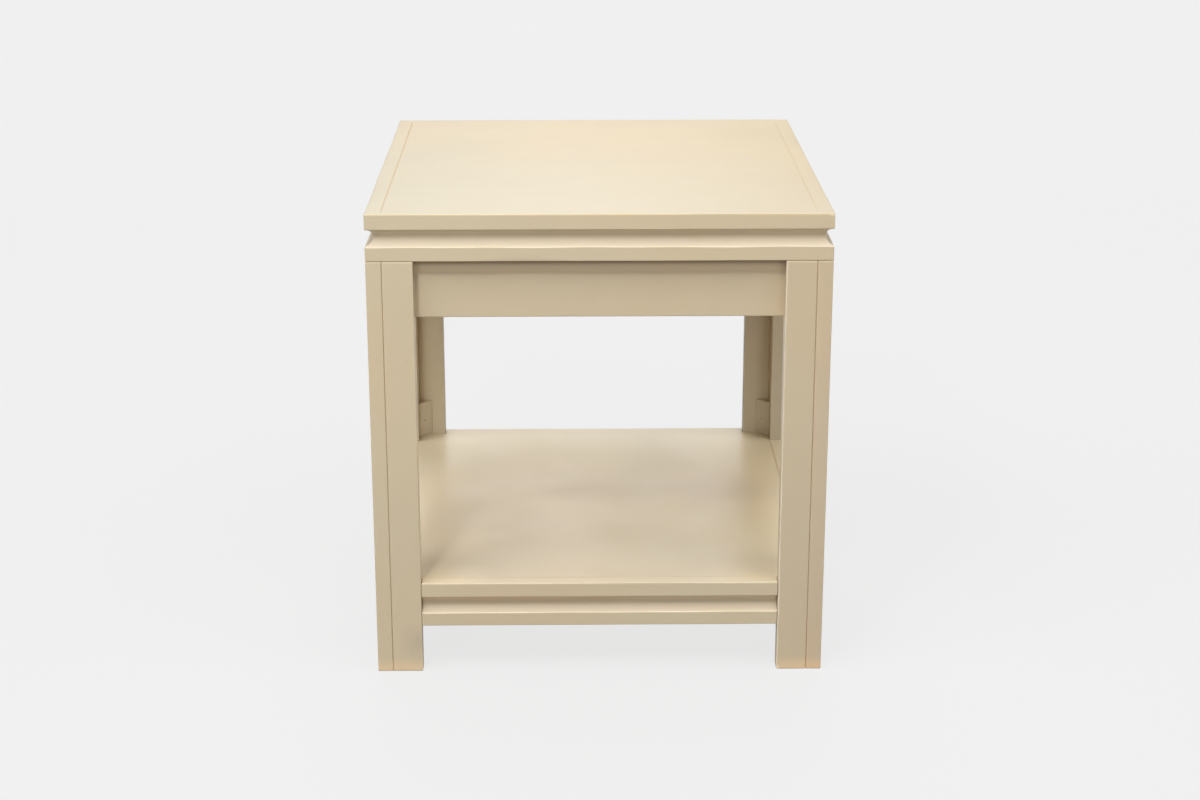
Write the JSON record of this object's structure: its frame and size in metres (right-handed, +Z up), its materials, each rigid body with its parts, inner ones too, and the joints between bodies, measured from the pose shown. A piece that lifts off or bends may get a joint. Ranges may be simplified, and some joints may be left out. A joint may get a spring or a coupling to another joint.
{
  "type": "end table with shelf",
  "caption": "Rectangular lacquered end table with a moulded, mitred top edge, recessed aprons, L-section board legs and a lower shelf with a matching edge between the legs.",
  "frame": {"origin": "on the floor under the middle of the table", "axes": "+Z up, +Y from the front to the back, +X to the right seen from the front"},
  "size_m": [0.56, 0.61, 0.59],
  "materials": {
    "cream_lacquer": "cream satin lacquer over wood, slightly yellowed and rubbed along the edges",
    "bare_wood": "sawn unfinished softwood",
    "plated_steel": "dull plated steel"
  },
  "bodies": {
    "root": {"top_panel": "cream_lacquer", "top_edge_front": "cream_lacquer", "top_edge_rear": "cream_lacquer", "top_edge_left": "cream_lacquer", "top_edge_right": "cream_lacquer", "apron_front": "cream_lacquer", "apron_rear": "cream_lacquer", "apron_left": "cream_lacquer", "apron_right": "cream_lacquer", "leg_front_left_face": "cream_lacquer", "leg_front_left_side": "cream_lacquer", "leg_front_right_face": "cream_lacquer", "leg_front_right_side": "cream_lacquer", "leg_rear_left_face": "cream_lacquer", "leg_rear_left_side": "cream_lacquer", "leg_rear_right_face": "cream_lacquer", "leg_rear_right_side": "cream_lacquer", "shelf_panel": "cream_lacquer", "shelf_edge_front": "cream_lacquer", "shelf_edge_rear": "cream_lacquer", "shelf_edge_left": "cream_lacquer", "shelf_edge_right": "cream_lacquer", "shelf_corner_block_front_left": "cream_lacquer", "shelf_corner_block_front_right": "cream_lacquer", "shelf_corner_block_rear_left": "cream_lacquer", "shelf_corner_block_rear_right": "cream_lacquer", "shelf_support_block_front_left": "bare_wood", "shelf_support_block_front_right": "bare_wood", "shelf_support_block_rear_left": "bare_wood", "shelf_support_block_rear_right": "bare_wood", "apron_corner_block_front_left": "bare_wood", "apron_corner_block_front_right": "bare_wood", "apron_corner_block_rear_left": "bare_wood", "apron_corner_block_rear_right": "bare_wood", "leg_screws": "plated_steel", "apron_block_screws": "plated_steel", "top_screws": "plated_steel", "shelf_screws": "plated_steel", "shelf_block_brads": "plated_steel"}
  },
  "joints": []
}
